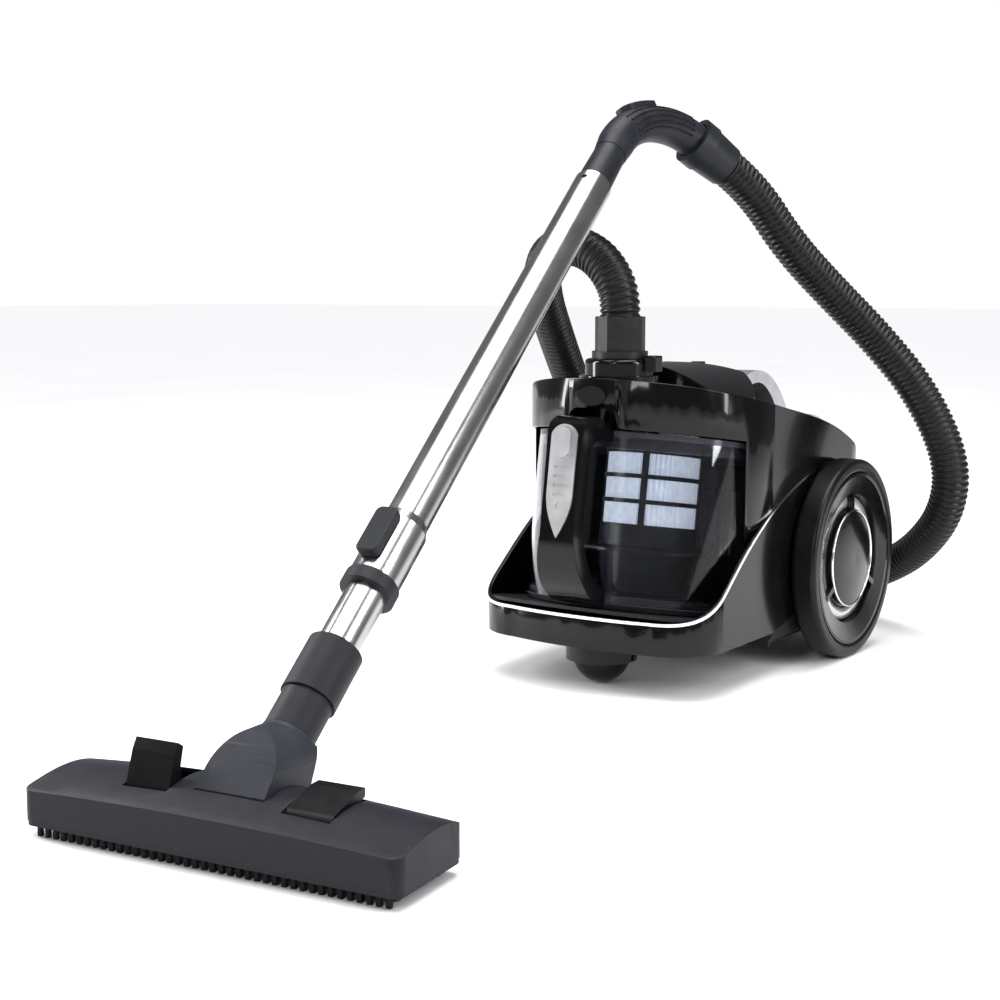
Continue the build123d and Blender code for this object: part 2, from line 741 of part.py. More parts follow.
def make_caster():
    with BuildPart() as caster_fork:
        with BuildSketch(caster_plane.offset(22)):
            Circle(caster_socket)
        extrude(amount=35)
        with BuildSketch(caster_plane.offset(base_bottom + wall + 0.2)):
            Circle(caster_socket + 4)
        extrude(amount=3)
        with Locations(caster_plane.from_local_coords((0, 0, caster_radius))):
            Sphere(caster_radius + 1.5, mode=Mode.SUBTRACT)
        with BuildSketch(Plane(origin=caster_ball_centre, x_dir=(0, 1, 0), z_dir=(1, 0, 0))):
            Circle(caster_pin + clearance)
        extrude(amount=60, both=True, mode=Mode.SUBTRACT)
    save(caster_fork, "caster_fork")
    with BuildPart() as caster_ball:
        with Locations(caster_plane.from_local_coords((0, 0, caster_radius))):
            Sphere(caster_radius)
        with BuildSketch(Plane(origin=caster_ball_centre, x_dir=(0, 1, 0), z_dir=(1, 0, 0))):
            Circle(caster_pin)
        extrude(amount=caster_radius + 4.5, both=True)
    save(caster_ball, "caster_ball")


# ---------------------------------------------------------------- dust cup
def make_cup_shells():
    with BuildPart() as cup_floor:
        with BuildSketch(cup):
            Circle(cup_radius)
        extrude(amount=5)
        chamfer(cup_floor.faces().sort_by(Axis(cup.origin, cup.z_dir))[0].edges(), 4.4)
        with BuildSketch(cup.offset(5)):
            Circle(cup_radius - cup_wall_thickness - 0.1)
            Circle(cup_radius - cup_wall_thickness - 3, mode=Mode.SUBTRACT)
        extrude(amount=7)
    save(cup_floor, "cup_floor")
    with BuildPart() as cup_wall:
        with BuildSketch(cup.offset(5)):
            Circle(cup_radius)
            Circle(cup_radius - cup_wall_thickness, mode=Mode.SUBTRACT)
        extrude(amount=cup_height - 10)
    save(cup_wall, "cup_wall")
    with BuildPart() as cup_lid:
        with BuildSketch(cup.offset(cup_height - 5)):
            Circle(cup_radius)
        extrude(amount=5)
        with BuildSketch(cup.offset(cup_height - 15)):
            Circle(cup_radius - cup_wall_thickness - 0.1)
            Circle(cup_radius - cup_wall_thickness - 3, mode=Mode.SUBTRACT)
        extrude(amount=10)
        with BuildSketch(cup.offset(cup_height - 5)):
            Circle(lid_outlet)
            with Locations((0, lid_inlet_y)):
                Circle(lid_inlet)
        extrude(amount=5, mode=Mode.SUBTRACT)
    save(cup_lid, "cup_lid")


def make_filter():
    with BuildPart() as filter_cage:
        with BuildSketch(cup.offset(cage_bottom)):
            Circle(cage_radius)
            Circle(cage_radius - 2, mode=Mode.SUBTRACT)
        extrude(amount=cup_height - 5 - cage_bottom)
        for level in window_rows:
            with BuildSketch(cup.offset(level)):
                with PolarLocations(cage_radius, 4, start_angle=window_turn):
                    Rectangle(40, window_width)
            extrude(amount=window_height, mode=Mode.SUBTRACT)
        with BuildSketch(cup.offset(cage_bottom)):
            Circle(cage_radius)
        extrude(amount=3)
    save(filter_cage, "filter_cage")
    with BuildPart() as filter_pleats:
        with BuildSketch(cup.offset(cage_bottom + 3)):
            steps = range(2 * pleat_count)
            star = [Vector(pleat_tip - pleat_depth * (i % 2), 0).rotate(Axis.Z, 180 * i / pleat_count) for i in steps]
            Polygon(*star, align=None)
            Circle(pleat_bore, mode=Mode.SUBTRACT)
        extrude(amount=cup_height - 8 - cage_bottom)
    save(filter_pleats, "filter_pleats")
    with BuildPart() as cyclone_cone:
        with BuildSketch(cup_side):
            outer = [(0, cage_bottom), (44, cage_bottom), (60, 52), (60, 49.5), (46, 49.5), (38, 13)]
            inner = [(35.5, 13), (43.5, 50), (0, 50)]
            Polygon(*outer, *inner, align=None)
        revolve(axis=Axis(origin=cup.origin, direction=cup.z_dir))
    save(cyclone_cone, "cyclone_cone")


def make_cup_handle():
    with BuildPart() as cup_handle:
        with BuildSketch(cup_side):
            with BuildLine():
                Line((-100, 157), (-128, 163))
                Spline((-128, 163), (-149, 161), (-157, 148), tangents=((-1, 0.2), (0, -1)))
                Line((-157, 148), (-157, 60))
                Spline((-157, 60), (-146, 24), (-118, 3), tangents=((0, -1), (1, -0.4)))
                Polyline((-118, 3), (-100, 3), (-100, 16), (-114, 18))
                Spline((-114, 18), (-134, 38), (-143, 72), tangents=((-1, 0.3), (0, 1)))
                Line((-143, 72), (-143, 130))
                Spline((-143, 130), (-137, 142), (-124, 145), tangents=((0, 1), (1, 0)))
                Polyline((-124, 145), (-100, 145), (-100, 157))
            make_face()
        extrude(amount=30, both=True)
        with BuildSketch(grip_face):
            Polygon((-18, 170), (-17, 60), (-22, 20), (-22, 0), (22, 0), (22, 20), (17, 60), (18, 170), align=None)
        extrude(amount=60, both=True, mode=Mode.INTERSECT)
        with BuildSketch(cup):
            Circle(cup_radius)
        extrude(amount=200, mode=Mode.SUBTRACT)
        with BuildSketch(grip_face):
            with Locations((0, cup_button_level)):
                SlotOverall(cup_button_length + 0.6, cup_button_width + 0.6, rotation=90)
        extrude(amount=-8, mode=Mode.SUBTRACT)
    save(cup_handle, "cup_handle")
    with BuildPart() as handle_inset:
        with BuildSketch(grip_face):
            with BuildLine():
                Line((-13, 147), (-13, 96))
                Spline((-13, 96), (-9, 76), (0, 58), tangents=((0, -1), (0.6, -1)))
                Spline((0, 58), (9, 76), (13, 96), tangents=((0.6, 1), (0, 1)))
                Line((13, 96), (13, 147))
                ThreePointArc((13, 147), (0, 155.5), (-13, 147))
            make_face()
            with Locations((0, cup_button_level)):
                SlotOverall(cup_button_length + 0.6, cup_button_width + 0.6, rotation=90, mode=Mode.SUBTRACT)
        extrude(amount=1.4)
        with BuildSketch(grip_face.offset(0.8)):
            with Locations((0, 107)):
                with GridLocations(0, 8, 1, 4):
                    SlotOverall(14, 2.2)
            with Locations((0, 86)):
                Circle(3)
        extrude(amount=2, mode=Mode.SUBTRACT)
    save(handle_inset, "handle_inset")
    with BuildPart() as cup_button:
        with BuildSketch(grip_face.offset(-4)):
            with Locations((0, cup_button_level)):
                SlotOverall(cup_button_length, cup_button_width, rotation=90)
        extrude(amount=4 + cup_button_proud)
    save(cup_button, "cup_button")


# ---------------------------------------------------------------- hose
def make_hose():
    route = [Vector(axle_x + x, axle_y + y, z) for x, y, z in hose_points]
    route += [cuff_end + cuff_axis * cuff_length, cuff_end]
    radii = []
    for before, here, after in zip(route, route[1:], route[2:]):
        bend = radians((here - before).get_angle(after - here))
        shorter = min((here - before).length, (after - here).length)
        radii.append(0.45 * shorter / tan(bend / 2))
    print("hose radii:", [round(r) for r in radii])
    with BuildPart() as hose:
        with BuildLine() as centre:
            FilletPolyline(*route, radius=radii)
        with BuildSketch(Plane(origin=route[0], z_dir=route[1] - route[0])):
            Circle(hose_radius)
            Circle(hose_radius - hose_gauge, mode=Mode.SUBTRACT)
        sweep()
    length = centre.wires()[0].length
    section = pi * (hose_radius**2 - (hose_radius - hose_gauge) ** 2)
    print(f"hose length {length:.0f}, volume / (section x length) {hose.part.volume / section / length:.4f}")
    save(hose, "hose")


def make_hose_connector():
    with BuildPart() as hose_connector:
        with BuildSketch(inlet.offset(252)):
            Circle(connector_bore - clearance)
        extrude(amount=collar_top - 252 + 1)
        with BuildSketch(inlet.offset(collar_top + 0.5)):
            Circle(25)
        extrude(amount=6)
        with BuildSketch(inlet.offset(collar_top + 6.5)):
            RegularPolygon(connector_radius, 12)
        extrude(amount=connector_top - collar_top - 6.5)
        with BuildSketch(inlet.offset(252)):
            Circle(hose_radius - hose_gauge)
        extrude(amount=100, mode=Mode.SUBTRACT)
    save(hose_connector, "hose_connector")


# ---------------------------------------------------------------- handle and wand
def along_handle(distance):
    """Cross-section plane on the straight part of the handle."""
    return Plane(origin=upper_end_point + wand_axis * distance, x_dir=across, z_dir=wand_axis)


def make_handle():
    with BuildPart() as handle_grip:
        with BuildSketch(along_handle(-26)):
            Circle(upper_radius - tube_gauge - clearance)
        extrude(amount=26)
        for start, end, first, last in handle_cones:
            with BuildSketch(along_handle(start)):
                Circle(first)
            with BuildSketch(along_handle(end)):
                Circle(last)
            loft()
        with BuildSketch(along_handle(handle_straight)):
            Circle(grip_radius)
        revolve(axis=Axis(bend_centre, handle_frame.z_dir), revolution_arc=handle_arc)
        with BuildSketch(cuff_plane):
            Circle(spigot_radius)
        extrude(amount=cuff_length - 8)
    save(handle_grip, "handle_grip")
    with BuildPart() as hose_cuff:
        with BuildSketch(cuff_plane.offset(-6)):
            Circle(cuff_radius)
        extrude(amount=14)
        with BuildSketch(cuff_plane.offset(8)):
            Circle(cuff_radius - 1.2)
        with BuildSketch(cuff_plane.offset(cuff_length)):
            Circle(hose_radius + 1.5)
        loft()
        with BuildSketch(cuff_plane.offset(-6)):
            Circle(grip_radius + 1)
        extrude(amount=7, mode=Mode.SUBTRACT)
        with BuildSketch(cuff_plane):
            Circle(spigot_radius + clearance)
        extrude(amount=60, mode=Mode.SUBTRACT)
    save(hose_cuff, "hose_cuff")
    with BuildPart() as bleed_slider:
        with BuildSketch(slider_plane):
            SlotOverall(slider_length, slider_width)
        extrude(amount=20, both=True)
        with Locations(Plane(origin=bend_centre, x_dir=wand_axis, z_dir=handle_frame.z_dir)):
            Torus(handle_bend, grip_radius + 4.5, mode=Mode.INTERSECT)
            Torus(handle_bend, grip_radius + 0.3, mode=Mode.SUBTRACT)
            Cylinder(handle_bend + grip_radius + 4, 60, mode=Mode.INTERSECT)
    save(bleed_slider, "bleed_slider")


def make_wand():
    with BuildPart() as upper_tube:
        with BuildSketch(wand.offset(sleeve_end)):
            Circle(upper_radius)
        extrude(amount=upper_end - sleeve_end)
        with BuildSketch(wand.offset(sleeve_start + 10)):
            Circle(sleeve_radius)
        extrude(amount=sleeve_end - sleeve_start - 18)
        with BuildSketch(wand.offset(sleeve_end - 8)):
            Circle(sleeve_radius)
        with BuildSketch(wand.offset(sleeve_end)):
            Circle(upper_radius)
        loft()
        with BuildSketch(wand):
            Circle(upper_radius - tube_gauge)
        extrude(amount=upper_end, mode=Mode.SUBTRACT)
        with BuildSketch(Plane(origin=wand_foot + wand_axis * (upper_end - 9), x_dir=across, z_dir=wand_top)):
            Circle(2.6)
        extrude(amount=30, mode=Mode.SUBTRACT)
    save(upper_tube, "upper_tube")
    with BuildPart() as tube_ring:
        with BuildSketch(wand.offset(sleeve_start)):
            Circle(sleeve_radius + 1.4)
        extrude(amount=10)
        with BuildSketch(wand.offset(sleeve_start)):
            Circle(lower_radius + clearance)
        extrude(amount=10, mode=Mode.SUBTRACT)
    save(tube_ring, "tube_ring")
    with BuildPart() as slide_button:
        with BuildSketch(lock_plane.offset(sleeve_radius + 0.3)):
            RectangleRounded(18, 42, 5)
        extrude(amount=7)
        fillet(slide_button.faces().sort_by(Axis(lock_plane.origin, lock_plane.z_dir))[-1].edges(), 1.6)
    save(slide_button, "slide_button")
    with BuildPart() as lower_tube:
        with BuildSketch(wand.offset(neck_end - 18)):
            Circle(lower_radius)
            Circle(lower_radius - tube_gauge, mode=Mode.SUBTRACT)
        extrude(amount=lower_length)
    save(lower_tube, "lower_tube")
    with BuildPart() as neck:
        with BuildSketch(wand.offset(neck_start)):
            Circle(18)
        extrude(amount=neck_ring - neck_start)
        with BuildSketch(wand.offset(neck_ring)):
            Circle(19.8)
        extrude(amount=neck_end - neck_ring)
        with BuildSketch(wand.offset(neck_start - 12)):
            Circle(swivel_radius)
        extrude(amount=12)
        with BuildSketch(wand.offset(neck_start - 12)):
            Circle(lower_radius - tube_gauge - 2)
        extrude(amount=120, mode=Mode.SUBTRACT)
        with BuildSketch(wand.offset(neck_end - 18)):
            Circle(lower_radius)
        extrude(amount=30, mode=Mode.SUBTRACT)
    save(neck, "neck")


# ---------------------------------------------------------------- floor head
def make_elbow():
    with BuildPart() as elbow:
        with BuildSketch(elbow_side):
            Polygon((-26, 8), (2, 40.5), (20, 42.5), (34, 26), (22, 0), (0, -10), (-26.8, -4.5), align=None)
        extrude(amount=elbow_half, both=True)
        with BuildSketch(elbow_front):
            with BuildLine():
                Polyline((-elbow_half, 16), (-elbow_half, -30), (elbow_half, -30), (elbow_half, 16))
                Spline((elbow_half, 16), (17, 35), (0, 42), (-17, 35), (-elbow_half, 16))
            make_face()
        extrude(amount=60, both=True, mode=Mode.INTERSECT)
        with BuildSketch(elbow_side):
            Circle(barrel_radius)
        extrude(amount=elbow_half, both=True)
        with BuildSketch(wand.offset(12)):
            Circle(18.5)
        extrude(amount=neck_start - 12.5)
        with BuildSketch(elbow_side):
            Circle(trunnion_radius)
        extrude(amount=elbow_half + 2.8, both=True)
        with BuildSketch(wand.offset(neck_start - 13)):
            Circle(swivel_radius + clearance)
        extrude(amount=40, mode=Mode.SUBTRACT)
        with BuildSketch(wand):
            Circle(12)
        extrude(amount=40, mode=Mode.SUBTRACT)
        with BuildSketch(Plane(origin=wand_foot, x_dir=across, z_dir=(0, 0, -1))):
            Circle(12)
        extrude(amount=40, mode=Mode.SUBTRACT)
    save(elbow, "elbow")


def head_section(station, inset=0.0):
    """Cross-section of the head at a station along its length: straight skirt and crowned top."""
    level = 1 - (2 * station / head_length) ** 2
    edge = head_edge_end + (head_edge_middle - head_edge_end) * level - inset
    crown = head_crown_end + (head_crown_middle - head_crown_end) * level - inset
    shoulder = edge + 0.8 * (crown - edge)
    half, low = head_depth / 2 - inset, head_skirt - inset
    with BuildSketch(head_side.offset(station)) as section:
        with BuildLine():
            Polyline((-half, edge), (-half, low), (half, low), (half, edge))
            Spline((half, edge), (12, crown), (-12, shoulder), (-half, edge))
        make_face()
    return section.sketch


def head_cavity():
    """The hollow in the cover, less the cheeks that carry the elbow and the pedals."""
    with BuildPart() as cavity:
        for station in (2.5 - head_length / 2, 0, head_length / 2 - 2.5):
            add(head_section(station, 2.5))
        loft()
        with BuildSketch(head.offset(14)):
            for x in (neck_side - elbow_half - 1.9, neck_side + elbow_half + 1.9):
                with Locations((x, 11)):
                    Rectangle(2.6, 50)
            for x, _ in pedal_wells:
                with Locations((x - head_pedal_width / 2 - 1.9, 0), (x + head_pedal_width / 2 + 1.9, 0)):
                    Rectangle(2.6, 44)
        extrude(amount=60, mode=Mode.SUBTRACT)
    return cavity.part


def make_head_cover():
    with BuildPart() as head_cover:
        for station in (-head_length / 2, 0, head_length / 2):
            add(head_section(station))
        loft()
        with BuildSketch(head):
            RectangleRounded(head_length, head_depth, 8)
        extrude(amount=80, mode=Mode.INTERSECT)
        add(head_cavity(), mode=Mode.SUBTRACT)
        with BuildSketch(head.offset(14)):
            with Locations((neck_side, 17)):
                Rectangle(2 * elbow_half + 1.2, 61.2)
        extrude(amount=60, mode=Mode.SUBTRACT)
        with BuildSketch(head.offset(14)):
            with Locations(*pedal_wells):
                Rectangle(head_pedal_width + 1.2, well_depth)
        extrude(amount=60, mode=Mode.SUBTRACT)
        with BuildSketch(elbow_side):
            Circle(trunnion_radius + clearance)
        extrude(amount=elbow_half + 5, both=True, mode=Mode.SUBTRACT)
        for x, _ in pedal_wells:
            with BuildSketch(Plane(origin=head.from_local_coords((x, pedal_pin_y, pedal_pin_z)), z_dir=across)):
                Circle(pedal_pin + clearance)
            extrude(amount=head_pedal_width / 2 + 5, both=True, mode=Mode.SUBTRACT)
    save(head_cover, "head_cover")


def make_sole_plate():
    with BuildPart() as sole_plate:
        with BuildSketch(head.offset(head_skirt - 3)):
            RectangleRounded(head_length - 1, head_depth - 1, 7.5)
            with Locations((0, -6)):
                SlotOverall(210, 13, mode=Mode.SUBTRACT)
            with Locations((0, brush_y)):
                Rectangle(brush_length + 1.2, brush_width + 1.2, mode=Mode.SUBTRACT)
            with Locations(*front_rollers, *rear_rollers):
                Rectangle(roller_length + 2, 2 * roller_radius + 2, mode=Mode.SUBTRACT)
        extrude(amount=3)
        for x, y in front_rollers + rear_rollers:
            with BuildSketch(Plane(origin=head.from_local_coords((x, y, roller_radius)), z_dir=across)):
                Circle(roller_pin)
            extrude(amount=roller_length / 2 + 3, both=True, mode=Mode.SUBTRACT)
    save(sole_plate, "sole_plate")


def make_brush():
    with BuildPart() as brush_strip:
        with BuildSketch(head.offset(head_skirt - 3)):
            with Locations((0, brush_y)):
                Rectangle(brush_length, brush_width)
        extrude(amount=6)
    save(brush_strip, "brush_strip")
    with BuildPart() as brush_tufts:
        with BuildSketch(head.offset(0.5)):
            with Locations((0, brush_y)):
                with GridLocations(tuft_pitch, 0, tuft_count, 1):
                    RectangleRounded(3.8, 3.4, 1.2)
        extrude(amount=head_skirt - 3.5)
    save(brush_tufts, "brush_tufts")


def make_head_pedals():
    """Two rocking pedals: the left one stands up while the right one is pressed."""
    for (x, _), name, lift in zip(pedal_wells, ("head_pedal_left", "head_pedal_right"), (pedal_lift, 0)):
        pin = Plane(origin=head.from_local_coords((x, pedal_pin_y, pedal_pin_z)), x_dir=forward, z_dir=across)
        plate = forward * cos(radians(lift)) + Vector(0, 0, sin(radians(lift)))
        swing = Plane(origin=pin.origin, x_dir=plate, z_dir=across)
        with BuildPart() as pedal:
            with BuildSketch(swing):
                Circle(8)
                Polygon((-3, 7.4), (10, 11.5), (22, 15), (30, 15.5), (30, 10), (18, 5.5), (6, -5), align=None)
            extrude(amount=head_pedal_width / 2, both=True)
            with BuildSketch(pin):
                Circle(pedal_pin)
            extrude(amount=head_pedal_width / 2 + 2.8, both=True)
        save(pedal, name)


def make_rollers():
    for places, name in ((rear_rollers, "rollers_rear"), (front_rollers, "rollers_front")):
        with BuildPart() as rollers:
            for x, y in places:
                with BuildSketch(Plane(origin=head.from_local_coords((x, y, roller_radius)), z_dir=across)):
                    Circle(roller_radius)
                    Circle(roller_pin + clearance, mode=Mode.SUBTRACT)
                extrude(amount=roller_length / 2, both=True)
        save(rollers, name)
    with BuildPart() as roller_pins:
        for x, y in front_rollers + rear_rollers:
            with BuildSketch(Plane(origin=head.from_local_coords((x, y, roller_radius)), z_dir=across)):
                Circle(roller_pin)
            extrude(amount=roller_length / 2 + 3, both=True)
    save(roller_pins, "roller_pins")


make_base_shell()
make_silver_trim()
make_belly_pan()
make_belly_screws()
make_cup_tray()
make_bulkhead()
make_top_cover()
make_deck_panel()
make_deck_button()
make_badge_lens()
make_carry_handle()
make_pedals()
make_inlet_collar()
make_collar_latch()
make_rear_group()
make_motor()
make_cord_reel()
make_circuit_board()
make_wheels()
make_caster()
make_cup_shells()
make_filter()
make_cup_handle()
make_hose()
make_hose_connector()
make_handle()
make_wand()
make_elbow()
make_head_cover()
make_sole_plate()
make_brush()
make_head_pedals()
make_rollers()
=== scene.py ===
"""Looks for the canister vacuum cleaner, in metres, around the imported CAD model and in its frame."""

import math

import bmesh
import bpy
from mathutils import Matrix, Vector


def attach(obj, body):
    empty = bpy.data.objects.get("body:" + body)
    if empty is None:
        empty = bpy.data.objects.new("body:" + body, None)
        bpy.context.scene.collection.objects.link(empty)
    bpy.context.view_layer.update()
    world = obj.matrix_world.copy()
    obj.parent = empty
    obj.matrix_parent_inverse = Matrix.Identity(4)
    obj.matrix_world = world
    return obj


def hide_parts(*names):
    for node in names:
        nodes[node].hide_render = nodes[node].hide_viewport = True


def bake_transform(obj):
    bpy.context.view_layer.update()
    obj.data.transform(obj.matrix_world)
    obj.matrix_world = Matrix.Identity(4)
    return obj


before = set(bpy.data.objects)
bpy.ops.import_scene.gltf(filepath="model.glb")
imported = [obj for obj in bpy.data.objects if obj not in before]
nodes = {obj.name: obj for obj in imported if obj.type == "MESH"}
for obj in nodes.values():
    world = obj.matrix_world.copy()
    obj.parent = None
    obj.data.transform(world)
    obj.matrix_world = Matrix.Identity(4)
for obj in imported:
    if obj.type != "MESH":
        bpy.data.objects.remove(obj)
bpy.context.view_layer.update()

# ---------------------------------------------------------------- places shared with the CAD
axle = Vector((-0.0249, 0.3473, 0))
turn, rise, roll = math.radians(7.0), math.radians(39.1), math.radians(148.6)
forward = Vector((-math.sin(turn), math.cos(turn), 0))
across = Vector((math.cos(turn), math.sin(turn), 0))
wand_axis = forward * math.cos(rise) + Vector((0, 0, math.sin(rise)))
wand_top = Vector((0, 0, math.cos(rise))) - forward * math.sin(rise)
wand_foot = axle + Vector((0.0535, -0.7285, 0.035))
handle_down = wand_top * math.cos(roll) + across * math.sin(roll)
handle_side = wand_axis.cross(handle_down)
wand_length = 0.640
handle_start = wand_foot + wand_axis * wand_length
straight, bend_radius, bend_angle = 0.062, 0.086, math.radians(80)
bend_centre = handle_start + wand_axis * straight + handle_down * bend_radius
grip_end = bend_centre + bend_radius * (
    wand_axis * math.sin(bend_angle) - handle_down * math.cos(bend_angle)
)
cuff_length = 0.036
cuff_axis = wand_axis * math.cos(bend_angle) + handle_down * math.sin(bend_angle)
cuff_end = grip_end + cuff_axis * cuff_length


# ---------------------------------------------------------------- materials
def tint(colour, factor):
    """The colour made lighter or darker, as RGBA."""
    return (*[min(1.0, c * factor) for c in colour], 1.0)


def surface(name, colour, rough, spread=0.25, scale=60.0, grain=0.0, grain_scale=900.0, **shader):
    """Principled material whose colour and roughness drift a little, with an optional fine grain.

    shader holds sockets of the Principled node, with _ for each space.
    """
    material = bpy.data.materials.new(name)
    material.use_nodes = True
    tree = material.node_tree
    bsdf = tree.nodes["Principled BSDF"]
    bsdf.inputs["Specular IOR Level"].default_value = 0.2
    for socket, value in shader.items():
        bsdf.inputs[socket.replace("_", " ")].default_value = value
    place = tree.nodes.new("ShaderNodeTexCoord")
    drift = tree.nodes.new("ShaderNodeTexNoise")
    drift.inputs["Scale"].default_value = scale
    drift.inputs["Detail"].default_value = 4.0
    tree.links.new(place.outputs["Object"], drift.inputs["Vector"])
    ramp = tree.nodes.new("ShaderNodeValToRGB")
    ramp.color_ramp.elements[0].position = 0.3
    ramp.color_ramp.elements[1].position = 0.7
    ramp.color_ramp.elements[0].color = tint(colour, 1 - spread)
    ramp.color_ramp.elements[1].color = tint(colour, 1 + spread)
    tree.links.new(drift.outputs["Fac"], ramp.inputs["Fac"])
    tree.links.new(ramp.outputs["Color"], bsdf.inputs["Base Color"])
    sheen = tree.nodes.new("ShaderNodeMapRange")
    sheen.inputs["To Min"].default_value = rough * 0.8
    sheen.inputs["To Max"].default_value = min(1.0, rough * 1.25)
    tree.links.new(drift.outputs["Fac"], sheen.inputs["Value"])
    tree.links.new(sheen.outputs["Result"], bsdf.inputs["Roughness"])
    if grain:
        fine = tree.nodes.new("ShaderNodeTexNoise")
        fine.inputs["Scale"].default_value = grain_scale
        fine.inputs["Detail"].default_value = 3.0
        tree.links.new(place.outputs["Object"], fine.inputs["Vector"])
        bump = tree.nodes.new("ShaderNodeBump")
        bump.inputs["Strength"].default_value = grain
        bump.inputs["Distance"].default_value = 0.0004
        tree.links.new(fine.outputs["Fac"], bump.inputs["Height"])
        tree.links.new(bump.outputs["Normal"], bsdf.inputs["Normal"])
    return material


def brushed(name, colour, rough, direction):
    """Metal with fine lines along a direction."""
    material = surface(name, colour, rough, 0.06, 30.0, Metallic=1.0)
    tree = material.node_tree
    bsdf = tree.nodes["Principled BSDF"]
    place = tree.nodes.new("ShaderNodeTexCoord")
    lines = tree.nodes.new("ShaderNodeMapping")
    lines.inputs["Rotation"].default_value = direction.to_track_quat("Z", "Y").inverted().to_euler()
    lines.inputs["Scale"].default_value = (900, 900, 12)
    noise = tree.nodes.new("ShaderNodeTexNoise")
    noise.inputs["Scale"].default_value = 1.0
    bump = tree.nodes.new("ShaderNodeBump")
    bump.inputs["Strength"].default_value = 0.08
    bump.inputs["Distance"].default_value = 0.0003
    tree.links.new(place.outputs["Object"], lines.inputs["Vector"])
    tree.links.new(lines.outputs["Vector"], noise.inputs["Vector"])
    tree.links.new(noise.outputs["Fac"], bump.inputs["Height"])
    tree.links.new(bump.outputs["Normal"], bsdf.inputs["Normal"])
    return material


gloss = dict(Coat_Weight=0.12, Coat_Roughness=0.04)
black = surface("gloss_black", (0.0025, 0.0025, 0.003), 0.14, **gloss)
shell = surface("shell_black", (0.003, 0.003, 0.0035), 0.16, **gloss)
satin = surface("satin_black", (0.014, 0.014, 0.015), 0.42, grain=0.15)
deep = surface("under_black", (0.012, 0.012, 0.012), 0.55, grain=0.3)
chrome = surface("trim_chrome", (0.85, 0.85, 0.86), 0.12, 0.04, Metallic=1.0)
silver = surface("silver_paint", (0.62, 0.62, 0.63), 0.3, 0.08, grain=0.1, grain_scale=1500, Metallic=0.75)
pearl = surface("pearl_plastic", (0.5, 0.51, 0.53), 0.12, 0.1, Metallic=0.7, **gloss)
frosted = surface("frosted_pedal", (0.86, 0.87, 0.88), 0.3, 0.04, Transmission_Weight=0.45, IOR=1.49)
smoke = surface(
    "smoked_cup", (0.8, 0.82, 0.86), 0.025, 0.03,
    Transmission_Weight=1.0, IOR=1.4, Specular_IOR_Level=0.5,
)
smoke_dark = surface("smoked_floor", (0.1, 0.1, 0.12), 0.1, 0.1, Transmission_Weight=0.5, IOR=1.3)
cage = surface("cage_dark", (0.02, 0.021, 0.026), 0.35, grain=0.1)
# Filter paper: its base colour is the paper's own pale grey-white, and its faint blue-white emission is
# painted light, a glow that stands in for the light reaching the pleats through the clear cup.
paper_painted_glow = surface(
    "filter_paper", (0.8, 0.83, 0.87), 0.8, 0.12, 160.0, grain=0.5, grain_scale=500,
    Emission_Color=(0.8, 0.87, 1.0, 1.0), Emission_Strength=0.25,
)
grip = surface("grip_grey", (0.012, 0.0135, 0.018), 0.42, 0.15, grain=0.25, grain_scale=1300)
ribbed = surface("hose_black", (0.0075, 0.008, 0.009), 0.32, 0.3, 90.0, grain=0.12)
head = surface("head_grey", (0.012, 0.0125, 0.017), 0.5, 0.12, grain=0.35, grain_scale=1100)
elbow = surface("elbow_grey", (0.024, 0.026, 0.034), 0.48, 0.15, grain=0.4, grain_scale=1000)
pedal = surface("pedal_black", (0.004, 0.004, 0.005), 0.35, grain=0.2)
tyre = surface("tyre_rubber", (0.004, 0.004, 0.0045), 0.34, grain=0.12)
rim = surface("rim_black", (0.004, 0.004, 0.0045), 0.16, **gloss)
bristle = surface("bristle", (0.01, 0.01, 0.01), 0.7, 0.4, 700.0, grain=0.8, grain_scale=2500)
roller = surface("roller", (0.05, 0.05, 0.055), 0.5, grain=0.2)
steel = brushed("steel_pins", (0.6, 0.6, 0.61), 0.3, Vector((1, 0, 0)))
tube_steel = brushed("wand_steel", (0.46, 0.45, 0.44), 0.2, wand_axis)
motor_paint = surface("motor_paint", (0.25, 0.26, 0.27), 0.4, 0.1, grain=0.2)
fan = surface("fan_alloy", (0.7, 0.7, 0.7), 0.3, 0.08, grain=0.2, Metallic=1.0)
board = surface("board_green", (0.03, 0.14, 0.06), 0.45, 0.3, 300.0, grain=0.3)
foam = surface("filter_foam", (0.08, 0.08, 0.085), 0.95, 0.5, 500.0, grain=1.0, grain_scale=900)
rubber = surface("gland_rubber", (0.02, 0.02, 0.02), 0.6, grain=0.3)

